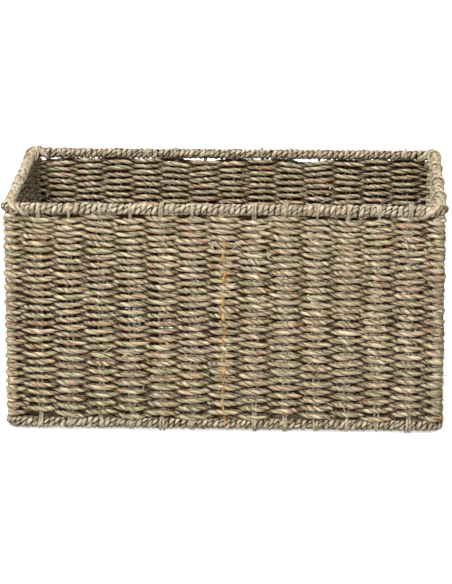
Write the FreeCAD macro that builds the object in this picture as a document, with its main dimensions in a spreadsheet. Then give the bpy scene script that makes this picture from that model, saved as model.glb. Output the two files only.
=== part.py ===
"""Rectangular seagrass storage basket: a cord-bound wire frame, stakes hooked over it, woven walls and base.

Millimetres. +X runs along the length, +Y towards the back, +Z up. The origin is on the ground, under the
centre.
"""

import FreeCAD, Part
import math
import os

import Sketcher

doc = FreeCAD.newDocument("seagrass_basket")

SIZES = {
    "frame_length": 390.0,  # rim and foot wires, centre line to centre line along X
    "frame_depth": 240.0,  # the same along Y
    "frame_rise": 200.0,  # foot wire centre to rim wire centre
    "wire_size": 4.0,  # diameter of the frame's wire
    "corner_bend": 8.0,  # centre-line radius of the wire's four corners
    "binding_size": 10.3,  # outside diameter of the cord wound round the rim and foot wires
    "cord_size": 4.2,  # diameter of the weft cord
    "stake_size": 2.0,  # thickness of a stake
    "stake_width": 6.4,  # width of the two cords that make a stake, side by side
    "marker_width": 3.0,  # width of the single coloured cord at the centre
    "cross_spaces": 14.0,  # spaces between stakes along the length
    "side_spaces": 8.0,  # spaces between stakes along the depth
    "stake_bend": 3.0,  # centre-line radius of a stake's small bends
    "jog_angle": 60.0,  # slope of a stake where it steps out of the weave
    "hook_rise": 1.0,  # straight part of a stake beside the foot and rim
    "hook_tail": 2.0,  # end of a stake, inside the rim or foot
    "base_turn": 14.0,  # how far inside the foot wire a stake leaves the base
    "corner_reach": 7.0,  # how far a corner column reaches inwards from the wire's centre line
    "corner_round": 9.0,  # outer radius of the weave at a corner
    "lashing_inset": 12.0,  # lashing ring to corner, along the rim
    "play": 0.2,  # gap between neighbouring pieces
}

sheet = doc.addObject("Spreadsheet::Sheet", "Sizes")
for row, (alias, size) in enumerate(SIZES.items(), start=1):
    sheet.set(f"A{row}", alias)
    sheet.set(f"B{row}", str(size))
    sheet.setAlias(f"B{row}", alias)
doc.recompute()

# Formulas shared by several pieces, as expressions on the sheet's cells.
HALF_LENGTH = "Sizes.frame_length / 2"
HALF_DEPTH = "Sizes.frame_depth / 2"
WEAVE_THICK = "(Sizes.stake_size + 2 * Sizes.cord_size)"
STAKE_MIDDLE = "Sizes.stake_size / 2"
HOOK = "(Sizes.binding_size / 2 + Sizes.play + Sizes.stake_size / 2)"
HOOK_OUTSIDE = f"({HOOK} + Sizes.stake_size / 2 + Sizes.play)"
FOOT_LEVEL = f"({HOOK} + {STAKE_MIDDLE})"
RIM_LEVEL = f"({FOOT_LEVEL} + Sizes.frame_rise)"
WEAVE_BOTTOM = f"({FOOT_LEVEL} + {HOOK_OUTSIDE})"
WEAVE_HEIGHT = f"(Sizes.frame_rise - 2 * {HOOK_OUTSIDE})"
WIRE_RADIUS = "Sizes.wire_size / 2"
BORE_RADIUS = "(Sizes.wire_size / 2 + Sizes.play)"
BASE_MIDDLE = f"({WEAVE_THICK} / 2)"
POST_INSET = "(Sizes.corner_bend * (1 - cos(45 deg)))"
POST_X = f"({HALF_LENGTH} - {POST_INSET})"
POST_Y = f"({HALF_DEPTH} - {POST_INSET})"
CROSS_PITCH = "Sizes.frame_length / Sizes.cross_spaces"
SIDE_PITCH = "Sizes.frame_depth / Sizes.side_spaces"

START, END, CENTRE = 1, 2, 3  # the points of a sketch element that a constraint can take
X_AXIS, Y_AXIS = -1, -2
ORIGIN = (X_AXIS, START)
UP = FreeCAD.Vector(0, 0, 1)


def number(expression):
    """The value of an expression on the sheet; a plain number stays as it is."""
    return float(sheet.evalExpression(expression)) if isinstance(expression, str) else expression


class Sketch:
    """A sketch on one of a body's origin planes, drawn as a route of lines and tangent arcs."""

    def __init__(self, body, plane, name):
        self.sketch = body.newObject("Sketcher::SketchObject", f"{body.Name}_{name}")
        self.sketch.AttachmentSupport = [(origin_item(body, plane), "")]
        self.sketch.MapMode = "FlatFace"
        self.point = FreeCAD.Vector()
        self.heading = 0.0
        self.last = None

    def tie(self, kind, *where):
        """Adds a constraint that has no size."""
        self.sketch.addConstraint(Sketcher.Constraint(kind, *where))

    def bind(self, kind, *where, to):
        """Adds a constraint whose size is bound to an expression in millimetres."""
        index = self.sketch.addConstraint(Sketcher.Constraint(kind, *where, number(to)))
        self.sketch.setExpression(f"Constraints[{index}]", f"({to}) * 1 mm")

    def slope(self, line, to):
        """Binds a line's direction to an expression in degrees, anticlockwise from the X axis."""
        constraint = Sketcher.Constraint("Angle", line, math.radians(number(to)))
        index = self.sketch.addConstraint(constraint)
        self.sketch.setExpression(f"Constraints[{index}]", f"({to}) * 1 deg")

    def begin(self, x, y, heading=0.0):
        """Moves to a starting point, heading in degrees anticlockwise from the X axis."""
        self.point = FreeCAD.Vector(number(x), number(y), 0)
        self.heading = math.radians(heading)

    def join(self, element, entry, leave):
        """Ties a new element to the element before it, so that the two are tangent where they meet."""
        if self.last:
            self.tie("Tangent", *self.last, element, entry)
        self.last = (element, leave)
        return element

    def line(self, length):
        """Goes straight ahead."""
        end = self.point + direction(self.heading) * number(length)
        element = self.sketch.addGeometry(Part.LineSegment(self.point, end))
        self.point = end
        return self.join(element, START, END)

    def turn(self, degrees, radius):
        """Turns through an arc: left for positive degrees, right for negative."""
        to_centre = self.heading + math.copysign(math.pi / 2, degrees)
        centre = self.point + direction(to_centre) * number(radius)
        entry_angle = to_centre + math.pi
        leave_angle = entry_angle + math.radians(degrees)
        circle = Part.Circle(centre, UP, number(radius))
        arc = Part.ArcOfCircle(circle, *sorted((entry_angle, leave_angle)))
        element = self.sketch.addGeometry(arc)
        self.point = centre + direction(leave_angle) * number(radius)
        self.heading += math.radians(degrees)
        self.join(element, *((START, END) if degrees > 0 else (END, START)))
        return element

    def circle(self, x, y, radius):
        """A circle whose centre and radius are bound to expressions."""
        geometry = Part.Circle(FreeCAD.Vector(number(x), number(y), 0), UP, number(radius))
        element = self.sketch.addGeometry(geometry)
        self.bind("Radius", element, to=radius)
        self.locate(element, CENTRE, x, y)

    def locate(self, element, point, x=None, y=None):
        """Binds a point's X and Y to expressions, measured from the origin."""
        for kind, reach, axis in (("DistanceX", x, Y_AXIS), ("DistanceY", y, X_AXIS)):
            if reach is None:
                continue
            if number(reach) == 0:
                self.tie("PointOnObject", element, point, axis)
            elif number(reach) > 0:
                self.bind(kind, *ORIGIN, element, point, to=reach)
            else:
                self.bind(kind, element, point, *ORIGIN, to=f"-({reach})")


def direction(angle):
    return FreeCAD.Vector(math.cos(angle), math.sin(angle), 0)


def origin_item(body, role):
    """One of a body's own origin planes or axes."""
    return next(item for item in body.Origin.OriginFeatures if item.Role == role)


def new_body(name):
    body = doc.addObject("PartDesign::Body", name)
    body.Label = name
    return body


def place(item, x="0", y="0", z="0"):
    """Binds the position of an object to expressions."""
    for axis, expression in zip("xyz", (x, y, z)):
        item.setExpression(f".Placement.Base.{axis}", f"({expression}) * 1 mm")


def turn_about_z(item, degrees):
    """Turns an object about the vertical; its position is bound afterwards."""
    item.Placement = FreeCAD.Placement(FreeCAD.Vector(), FreeCAD.Rotation(UP, degrees))


def sweep(body, kind, profile, path):
    """Adds or cuts a pipe: kind is Additive or Subtractive."""
    pipe = body.newObject(f"PartDesign::{kind}Pipe", f"{body.Name}_{kind.lower()}_pipe")
    pipe.Profile = profile
    pipe.Spine = path
    return pipe


# ---- The wire frame and its bindings ----


def loop_route(body):
    """The closed centre line of a frame wire: a rectangle with four bends, from the middle of its front."""
    path = Sketch(body, "XY_Plane", "path")
    half_front = f"{HALF_LENGTH} - Sizes.corner_bend"
    depth_run = "Sizes.frame_depth - 2 * Sizes.corner_bend"
    path.begin("0", f"-{HALF_DEPTH}")
    runs = []
    for length in (half_front, depth_run, "Sizes.frame_length - 2 * Sizes.corner_bend", depth_run):
        runs.append(path.line(length))
        bend = path.turn(90, "Sizes.corner_bend")
        path.bind("Radius", bend, to="Sizes.corner_bend")
    front, right, back, left = runs
    closing = path.line(half_front)
    path.tie("Coincident", closing, END, front, START)
    for element in (front, back):
        path.tie("Horizontal", element)
    for element in (right, left):
        path.tie("Vertical", element)
    path.locate(front, START, "0", f"-{HALF_DEPTH}")
    path.locate(back, START, y=HALF_DEPTH)
    path.locate(right, START, x=HALF_LENGTH)
    path.locate(left, START, x=f"-{HALF_LENGTH}")
    return path.sketch


def ring_profile(body, *radii):
    """Circles round the middle of the front wire: one for a rod, two for a sleeve."""
    profile = Sketch(body, "YZ_Plane", "profile")
    for radius in radii:
        profile.circle(f"-{HALF_DEPTH}", "0", radius)
    return profile.sketch


def frame_wire(name, level):
    """One closed wire of the frame."""
    body = new_body(name)
    sweep(body, "Additive", ring_profile(body, WIRE_RADIUS), loop_route(body))
    place(body, z=level)


def frame_binding(name, level, posts_above):
    """The cord wound round a frame wire, as a sleeve with four holes where the posts come in."""
    body = new_body(name)
    rings = ring_profile(body, "Sizes.binding_size / 2", BORE_RADIUS)
    sweep(body, "Additive", rings, loop_route(body))
    holes = Sketch(body, "XY_Plane", "post_holes")
    for x_side in (-1, 1):
        for y_side in (-1, 1):
            holes.circle(f"{x_side} * {POST_X}", f"{y_side} * {POST_Y}", BORE_RADIUS)
    pocket = body.newObject("PartDesign::Pocket", name + "_pocket")
    pocket.Profile = holes.sketch
    pocket.setExpression("Length", "Sizes.binding_size * 1 mm")
    pocket.Reversed = posts_above
    place(body, z=level)


def corner_post(name, x_side, y_side):
    """A straight wire from the foot wire to the rim wire at one corner."""
    post = doc.addObject("Part::Cylinder", name)
    post.Label = name
    post.setExpression("Radius", f"{WIRE_RADIUS} * 1 mm")
    post.setExpression("Height", "(Sizes.frame_rise - Sizes.wire_size) * 1 mm")
    place(post, f"{x_side} * {POST_X}", f"{y_side} * {POST_Y}", f"{FOOT_LEVEL} + {WIRE_RADIUS}")


# ---- Stakes ----


def jog(path, side, shift):
    """A step sideways: out along a slope and back to the old heading, left for side +1."""
    angle = number("Sizes.jog_angle")
    both_bends = 2 * number("Sizes.stake_bend") * (1 - math.cos(math.radians(angle)))
    bends = [path.turn(side * angle, "Sizes.stake_bend")]
    slope = path.line((number(shift) - both_bends) / math.sin(math.radians(angle)))
    bends.append(path.turn(-side * angle, "Sizes.stake_bend"))
    for bend in bends:
        path.bind("Radius", bend, to="Sizes.stake_bend")
    return slope


def climb(path, wall):
    """A stake from beside the foot, up through the weave and over the rim, to its tail inside.

    The sketch's Y axis is the height, and wall is how far out the middle of the wall is.
    """
    beside_foot = path.line("Sizes.hook_rise")
    slope_in = jog(path, 1, HOOK)
    half_way = number(FOOT_LEVEL) + number("Sizes.frame_rise") / 2
    in_wall = path.line(2 * (half_way - path.point.y))
    slope_out = jog(path, -1, HOOK)
    beside_rim = path.line("Sizes.hook_rise")
    over_rim = path.turn(180, HOOK)
    tail = path.line("Sizes.hook_tail")
    for element in (beside_foot, in_wall, beside_rim):
        path.tie("Vertical", element)
    path.slope(slope_in, "90 + Sizes.jog_angle")
    path.slope(slope_out, "90 - Sizes.jog_angle")
    path.locate(beside_foot, END, f"{wall} + {HOOK}", f"{FOOT_LEVEL} + Sizes.hook_rise")
    path.locate(in_wall, START, x=wall)
    path.locate(beside_rim, START, f"{wall} + {HOOK}", f"{RIM_LEVEL} - Sizes.hook_rise")
    path.locate(over_rim, CENTRE, wall, RIM_LEVEL)
    path.bind("DistanceY", tail, END, tail, START, to="Sizes.hook_tail")


def cross_route(body):
    """Half of a cross stake: from the middle of the base, under the foot, up the wall and over the rim."""
    path = Sketch(body, "YZ_Plane", "path")
    path.begin("0", BASE_MIDDLE)
    in_base = path.line(f"{HALF_DEPTH} - Sizes.base_turn")
    slope_down = jog(path, -1, f"{BASE_MIDDLE} - {STAKE_MIDDLE}")
    under_foot = path.line(number(HALF_DEPTH) - path.point.x)
    round_foot = path.turn(90, HOOK)
    path.tie("Horizontal", in_base)
    path.tie("Horizontal", under_foot)
    path.locate(in_base, START, "0", BASE_MIDDLE)
    path.locate(in_base, END, x=f"{HALF_DEPTH} - Sizes.base_turn")
    path.slope(slope_down, "-Sizes.jog_angle")
    path.bind("Radius", round_foot, to=HOOK)
    path.locate(under_foot, END, y=STAKE_MIDDLE)
    climb(path, HALF_DEPTH)
    return path.sketch


def side_route(body):
    """A side stake: from a tail inside the foot, round it, up the wall at 0 and over the rim."""
    path = Sketch(body, "YZ_Plane", "path")
    path.begin(f"-{HOOK}", f"{FOOT_LEVEL} + Sizes.hook_tail", heading=-90)
    foot_tail = path.line("Sizes.hook_tail")
    round_foot = path.turn(180, HOOK)
    path.locate(foot_tail, START, f"-{HOOK}", f"{FOOT_LEVEL} + Sizes.hook_tail")
    path.locate(round_foot, CENTRE, y=FOOT_LEVEL)
    climb(path, "0")
    return path.sketch


def band_profile(body, plane, middle, width, gap="0"):
    """A stake's section: a flat band with round edges, its width along X, grown by gap all round."""
    band = Sketch(body, plane, "band")
    edge = f"({STAKE_MIDDLE} + {gap})"
    half_flat = f"(({width} - Sizes.stake_size) / 2)"
    band.begin(f"-{half_flat}", f"{middle} - {edge}")
    near = band.line(f"2 * {half_flat}")
    right = band.turn(180, edge)
    band.line(f"2 * {half_flat}")
    left = band.turn(180, edge)
    band.tie("Tangent", left, END, near, START)
    band.bind("Radius", right, to=edge)
    band.locate(right, CENTRE, half_flat, middle)
    band.locate(left, CENTRE, f"-{half_flat}", middle)
    return band.sketch


def side_band(body, gap="0"):
    """The section of a side stake, where its tail starts inside the foot."""
    band = band_profile(body, "XY_Plane", f"-{HOOK}", "Sizes.stake_width", gap)
    band.setExpression(".AttachmentOffset.Base.z", f"({FOOT_LEVEL} + Sizes.hook_tail) * 1 mm")
    return band


def cross_stake(name, width, step):
    """A stake that crosses the base and climbs both long walls."""
    body = new_body(name)
    pipe = sweep(body, "Additive", band_profile(body, "XZ_Plane", BASE_MIDDLE, width), cross_route(body))
    mirrored = body.newObject("PartDesign::Mirrored", name + "_mirrored")
    mirrored.Originals = [pipe]
    mirrored.MirrorPlane = (origin_item(body, "XZ_Plane"), [""])
    body.Tip = mirrored
    place(body, x=f"{step} * {CROSS_PITCH}")


def side_stake(name, x_side, step):
    """A stake of one end wall, hooked round the foot and the rim."""
    body = new_body(name)
    sweep(body, "Additive", side_band(body), side_route(body))
    turn_about_z(body, -90 * x_side)
    place(body, x=f"{x_side} * {HALF_LENGTH}", y=f"{step} * {SIDE_PITCH}")


# ---- The weave ----


def panel_box(body, low, size):
    """A panel's block; low and size are triples of expressions."""
    box = body.newObject("PartDesign::AdditiveBox", body.Name + "_box")
    for side, expression in zip(("Length", "Width", "Height"), size):
        box.setExpression(side, f"({expression}) * 1 mm")
    place(box, *low)
    return box


def repeat_channel(body, channel, pitch, count, mirrored=False):
    """Repeats a stake's channel along X, and across the base where the stake goes both ways."""
    row = body.newObject("PartDesign::LinearPattern", body.Name + "_row")
    row.Direction = (origin_item(body, "X_Axis"), [""])
    row.setExpression("Occurrences", count)
    row.setExpression("Length", f"({count} - 1) * {pitch} * 1 mm")
    if not mirrored:
        row.Originals = [channel]
        body.Tip = row
        return
    both_ways = body.newObject("PartDesign::MultiTransform", body.Name + "_both_ways")
    mirror = body.newObject("PartDesign::Mirrored", body.Name + "_mirror")
    mirror.MirrorPlane = (origin_item(body, "XZ_Plane"), [""])
    both_ways.Originals = [channel]
    both_ways.Transformations = [mirror, row]
    body.Tip = both_ways


def long_wall(name, y_side):
    """The front or back wall's weave; its own origin is under the first stake, with the wall towards +Y."""
    body = new_body(name)
    reach = f"({HALF_LENGTH} - Sizes.corner_reach - Sizes.play)"
    first = f"((Sizes.cross_spaces / 2 - 1) * {CROSS_PITCH})"
    low = (f"{first} - {reach}", f"{HALF_DEPTH} - {WEAVE_THICK} / 2", WEAVE_BOTTOM)
    panel_box(body, low, (f"2 * {reach}", WEAVE_THICK, WEAVE_HEIGHT))
    band = band_profile(body, "XZ_Plane", BASE_MIDDLE, "Sizes.stake_width", "Sizes.play")
    channel = sweep(body, "Subtractive", band, cross_route(body))
    repeat_channel(body, channel, CROSS_PITCH, "Sizes.cross_spaces - 1")
    turn_about_z(body, 90 - 90 * y_side)
    place(body, x=f"{-y_side} * {first}")


def end_wall(name, x_side):
    """An end wall's weave; its own origin is under the first stake, with the wall's middle at Y = 0."""
    body = new_body(name)
    reach = f"({HALF_DEPTH} - Sizes.corner_reach - Sizes.play)"
    first = f"((Sizes.side_spaces / 2 - 1) * {SIDE_PITCH})"
    low = (f"{first} - {reach}", f"-{WEAVE_THICK} / 2", WEAVE_BOTTOM)
    panel_box(body, low, (f"2 * {reach}", WEAVE_THICK, WEAVE_HEIGHT))
    channel = sweep(body, "Subtractive", side_band(body, "Sizes.play"), side_route(body))
    repeat_channel(body, channel, SIDE_PITCH, "Sizes.side_spaces - 1")
    turn_about_z(body, -90 * x_side)
    place(body, x=f"{x_side} * {HALF_LENGTH}", y=f"{x_side} * {first}")


def base_weave(name):
    """The base, flat underneath and clear of the foot; its own origin is under the first stake."""
    body = new_body(name)
    x_reach = f"({HALF_LENGTH} - {HOOK_OUTSIDE})"
    y_reach = f"({HALF_DEPTH} - {HOOK_OUTSIDE})"
    first = f"((Sizes.cross_spaces / 2 - 1) * {CROSS_PITCH})"
    low = (f"{first} - {x_reach}", f"-{y_reach}", "0")
    panel_box(body, low, (f"2 * {x_reach}", f"2 * {y_reach}", WEAVE_THICK))
    band = band_profile(body, "XZ_Plane", BASE_MIDDLE, "Sizes.stake_width", "Sizes.play")
    channel = sweep(body, "Subtractive", band, cross_route(body))
    repeat_channel(body, channel, CROSS_PITCH, "Sizes.cross_spaces - 1", mirrored=True)
    place(body, x=f"-{first}")


def corner_weave(name, x_side, y_side):
    """The weave that turns round a corner post, with the post's hole, drawn for the back right corner."""
    body = new_body(name)
    side = f"(Sizes.corner_reach + {WEAVE_THICK} / 2)"
    inner = "-Sizes.corner_reach"
    block = panel_box(body, (inner, inner, "0"), (side, side, WEAVE_HEIGHT))
    doc.recompute()
    edges = block.Shape.Edges
    outermost = max(edges, key=lambda edge: edge.CenterOfMass.x + edge.CenterOfMass.y)
    corner = 1 + next(index for index, edge in enumerate(edges) if edge.isSame(outermost))
    rounding = body.newObject("PartDesign::Fillet", name + "_rounding")
    rounding.Base = (block, [f"Edge{corner}"])
    rounding.setExpression("Radius", "Sizes.corner_round * 1 mm")
    hole = Sketch(body, "XY_Plane", "post_hole")
    hole.circle(f"-{POST_INSET}", f"-{POST_INSET}", BORE_RADIUS)
    pocket = body.newObject("PartDesign::Pocket", name + "_pocket")
    pocket.Profile = hole.sketch
    pocket.setExpression("Length", f"{WEAVE_HEIGHT} * 1 mm")
    pocket.Reversed = True
    quarter = {(1, 1): 0, (-1, 1): 90, (-1, -1): 180, (1, -1): 270}[x_side, y_side]
    turn_about_z(body, quarter)
    place(body, f"{x_side} * {HALF_LENGTH}", f"{y_side} * {HALF_DEPTH}", WEAVE_BOTTOM)


def corner_lashing(name, x_side, y_side):
    """Two turns of cord round the rim, one on each side of a corner."""
    turns = []
    inset_x = f"{x_side} * ({HALF_LENGTH} - Sizes.lashing_inset)"
    inset_y = f"{y_side} * ({HALF_DEPTH} - Sizes.lashing_inset)"
    beside = (
        (FreeCAD.Vector(1, 0, 0), inset_x, f"{y_side} * {HALF_DEPTH}"),
        (FreeCAD.Vector(0, 1, 0), f"{x_side} * {HALF_LENGTH}", inset_y),
    )
    for axis, x, y in beside:
        turn = doc.addObject("Part::Torus", f"{name}_turn_{len(turns) + 1}")
        turn.setExpression("Radius1", f"{HOOK} * 1 mm")
        turn.setExpression("Radius2", f"{STAKE_MIDDLE} * 1 mm")
        turn.Placement = FreeCAD.Placement(FreeCAD.Vector(), FreeCAD.Rotation(UP, axis))
        place(turn, x, y, RIM_LEVEL)
        turns.append(turn)
    lashing = doc.addObject("Part::Compound", name)
    lashing.Label = name
    lashing.Links = turns


# ---- The whole basket ----


def build():
    """Builds every piece and returns the names of the pieces."""
    frame_wire("rim_wire", RIM_LEVEL)
    frame_wire("foot_wire", FOOT_LEVEL)
    frame_binding("rim_binding", RIM_LEVEL, posts_above=False)
    frame_binding("foot_binding", FOOT_LEVEL, posts_above=True)
    names = ["rim_wire", "foot_wire", "rim_binding", "foot_binding"]
    for y_word, y_side in (("front", -1), ("back", 1)):
        for x_word, x_side in (("left", -1), ("right", 1)):
            corner = f"{y_word}_{x_word}"
            corner_post(f"{corner}_post", x_side, y_side)
            corner_weave(f"{corner}_corner_weave", x_side, y_side)
            corner_lashing(f"{corner}_lashing", x_side, y_side)
            names += [f"{corner}_post", f"{corner}_corner_weave", f"{corner}_lashing"]
    long_wall("front_weave", -1)
    long_wall("back_weave", 1)
    end_wall("left_weave", -1)
    end_wall("right_weave", 1)
    base_weave("base_weave")
    names += ["front_weave", "back_weave", "left_weave", "right_weave", "base_weave"]
    half_cross = int(number("Sizes.cross_spaces / 2")) - 1
    for step in range(-half_cross, half_cross + 1):
        name = f"cross_stake_{step + half_cross + 1}" if step else "marker_stake"
        cross_stake(name, "Sizes.stake_width" if step else "Sizes.marker_width", step)
        names.append(name)
    half_side = int(number("Sizes.side_spaces / 2")) - 1
    for x_word, x_side in (("left", -1), ("right", 1)):
        for step in range(-half_side, half_side + 1):
            name = f"{x_word}_stake_{step + half_side + 1}"
            side_stake(name, x_side, step)
            names.append(name)
    return names


def check_and_write(names):
    """Stops on a failed feature or a bad shape, and otherwise writes one STEP file for each piece."""
    doc.recompute()
    failed = [item.Name for item in doc.Objects if {"Invalid", "Error"} & set(item.State)]
    if failed:
        raise RuntimeError(f"failed features: {failed}")
    for name in names:
        shape = doc.getObject(name).Shape
        if shape.isNull() or not shape.isValid():
            raise RuntimeError(f"bad shape: {name}")
    os.makedirs("parts", exist_ok=True)
    for name in names:
        doc.getObject(name).Shape.exportStep(os.path.join("parts", f"{name}.step"))


check_and_write(build())
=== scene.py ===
"""The looks of the seagrass basket: twisted cords, woven, wound and tied round the CAD frame's wires."""

import math

import bpy
import numpy as np
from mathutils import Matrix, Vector


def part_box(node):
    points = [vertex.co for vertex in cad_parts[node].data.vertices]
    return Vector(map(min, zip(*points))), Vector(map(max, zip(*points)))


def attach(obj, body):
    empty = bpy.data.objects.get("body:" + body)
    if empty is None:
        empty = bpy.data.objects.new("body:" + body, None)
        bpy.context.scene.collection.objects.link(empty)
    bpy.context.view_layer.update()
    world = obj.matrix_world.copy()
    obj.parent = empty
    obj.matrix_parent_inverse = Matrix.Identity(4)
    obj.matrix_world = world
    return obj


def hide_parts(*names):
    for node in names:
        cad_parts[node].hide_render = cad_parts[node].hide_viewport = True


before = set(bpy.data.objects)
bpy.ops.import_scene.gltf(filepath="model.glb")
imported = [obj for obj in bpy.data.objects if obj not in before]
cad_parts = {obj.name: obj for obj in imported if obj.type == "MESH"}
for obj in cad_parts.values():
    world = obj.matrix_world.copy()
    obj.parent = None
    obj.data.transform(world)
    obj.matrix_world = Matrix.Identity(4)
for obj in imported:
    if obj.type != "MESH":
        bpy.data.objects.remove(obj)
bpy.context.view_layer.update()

MM = 0.001
UP = np.array((0.0, 0.0, 1.0))
ALONG_X = np.array((1.0, 0.0, 0.0))

# ---- Places, read from the frame ----


def size_and_middle(node):
    """A node's size and middle, as arrays."""
    low, high = (np.array(corner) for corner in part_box(node))
    return high - low, (high + low) / 2


def stakes_named(prefix, axis):
    """The stakes whose names start with prefix, in order along an axis."""
    names = [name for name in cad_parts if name.startswith(prefix)]
    return sorted(names, key=lambda name: size_and_middle(name)[1][axis])


RIM_SIZE, RIM_MIDDLE = size_and_middle("rim_wire")
WIRE_RADIUS = RIM_SIZE[2] / 2
LENGTH = RIM_SIZE[0] - 2 * WIRE_RADIUS  # the frame wires, centre line to centre line
DEPTH = RIM_SIZE[1] - 2 * WIRE_RADIUS
RIM_LEVEL = RIM_MIDDLE[2]
FOOT_LEVEL = size_and_middle("foot_wire")[1][2]
BINDING_RADIUS = size_and_middle("rim_binding")[0][2] / 2
BASE_LEVEL = size_and_middle("base_weave")[1][2]
SIDE_STAKES = {side: stakes_named(f"{side}_stake_", 1) for side in ("left", "right")}
CROSS_STAKES = sorted(
    stakes_named("cross_stake_", 0) + ["marker_stake"],
    key=lambda name: size_and_middle(name)[1][0],
)
CROSS_X = [size_and_middle(name)[1][0] for name in CROSS_STAKES]
SIDE_Y = [size_and_middle(name)[1][1] for name in SIDE_STAKES["left"]]
WALL_THICK = size_and_middle("front_weave")[0][1]
STAKE_RADIUS = WALL_THICK * 0.105  # one of the two cords of a stake
PRESSED = 1.06  # the weft's cord is this much thicker than its room, since it's pressed on its neighbours
CORD_RADIUS = (WALL_THICK / 2 - STAKE_RADIUS) / 2 * PRESSED
SWING = WALL_THICK / 2 - CORD_RADIUS  # from the wall's middle to a weft cord's middle as it passes a stake
FRAME_BEND = 8 * MM  # the corners of the frame wires, to their centre line

# ---- Paths ----


def unit(vectors):
    """The same directions, with a length of one."""
    return vectors / np.linalg.norm(vectors, axis=-1, keepdims=True)


def travelled(points, closed):
    """The distance along a path at each point, and the whole length."""
    following = np.roll(points, -1, axis=0) if closed else points[1:]
    steps = np.linalg.norm(following - points[: len(following)], axis=1)
    return np.concatenate(([0.0], np.cumsum(steps)))[: len(points)], steps.sum()


def resampled(points, step, closed=False, *others):
    """A path at even steps, with other arrays that hold something for each of its points."""
    arrays = [points, *others]
    if closed:
        arrays = [np.concatenate((array, array[:1])) for array in arrays]
    distance, whole = travelled(arrays[0], False)
    count = max(4, round(whole / step))
    wanted = np.linspace(0, whole, count, endpoint=not closed)
    return [
        np.stack([np.interp(wanted, distance, column) for column in array.T], axis=1)
        for array in arrays
    ]


def softened(points):
    """An open path with its corners cut off, and the new corners cut off again."""
    for _ in range(2):
        near = points[:-1] * 0.75 + points[1:] * 0.25
        far = points[:-1] * 0.25 + points[1:] * 0.75
        cut = np.stack((near, far), axis=1).reshape(-1, points.shape[1])
        points = np.concatenate((points[:1], cut, points[-1:]))
    return points


def loop_path(length, depth, bend, step):
    """A rectangle with round corners, anticlockwise from its front left: points and outward directions."""
    half = np.array((length, depth)) / 2 - bend
    corners = [half * side for side in ((1, -1), (1, 1), (-1, 1), (-1, -1))]
    points, outwards = [], []
    for quarter, corner in enumerate(corners):
        start = (quarter - 1) * math.pi / 2
        facing = np.array((math.cos(start), math.sin(start)))
        straight = np.linalg.norm(corner - corners[quarter - 1])
        share = np.arange(round(straight / step))[:, None] / round(straight / step)
        points.append((corners[quarter - 1] * (1 - share) + corner * share) + facing * bend)
        outwards.append(np.repeat(facing[None], len(share), axis=0))
        turn = start + np.linspace(0, math.pi / 2, max(4, round(bend * math.pi / 2 / step)), endpoint=False)
        around = np.stack((np.cos(turn), np.sin(turn)), axis=1)
        points.append(corner + around * bend)
        outwards.append(around)
    flat = np.zeros((sum(len(part) for part in points), 1))
    return np.hstack((np.concatenate(points), flat)), np.hstack((np.concatenate(outwards), flat))


WAVES = (0.6, 1.0, 1.9)  # the lengths of wander's three waves, as parts of its wavelength


def wander(rng, distance, whole, wavelength, amount):
    """A smooth random curve that ends as it starts: three waves with random phases."""
    total = np.zeros_like(distance)
    for part in WAVES:
        waves = max(1, round(whole / (wavelength * part)))
        total += np.sin(2 * math.pi * waves * distance / whole + rng.uniform(0, 2 * math.pi))
    return total * amount / 2


def eased(places, knots, values, period=None):
    """Goes smoothly from each knot's value to the next one's, and round to the first if there's a period."""
    knots, values = np.array(knots), np.array(values)
    if period:
        knots = np.concatenate((knots[-1:] - period, knots, knots[:1] + period))
        values = np.concatenate((values[-1:], values, values[:1]))
    index = np.clip(np.searchsorted(knots, places) - 1, 0, len(knots) - 2)
    share = np.clip((places - knots[index]) / (knots[index + 1] - knots[index]), 0, 1)
    return values[index] + (values[index + 1] - values[index]) * (1 - np.cos(math.pi * share)) / 2


# ---- Cords ----

STRIP_HEIGHT = 4.4  # how many rings long a strip's height is, for a chart that's about square
STRIP_FILL = 0.9  # the rest of a strip's height is the gap to the next one


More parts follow.
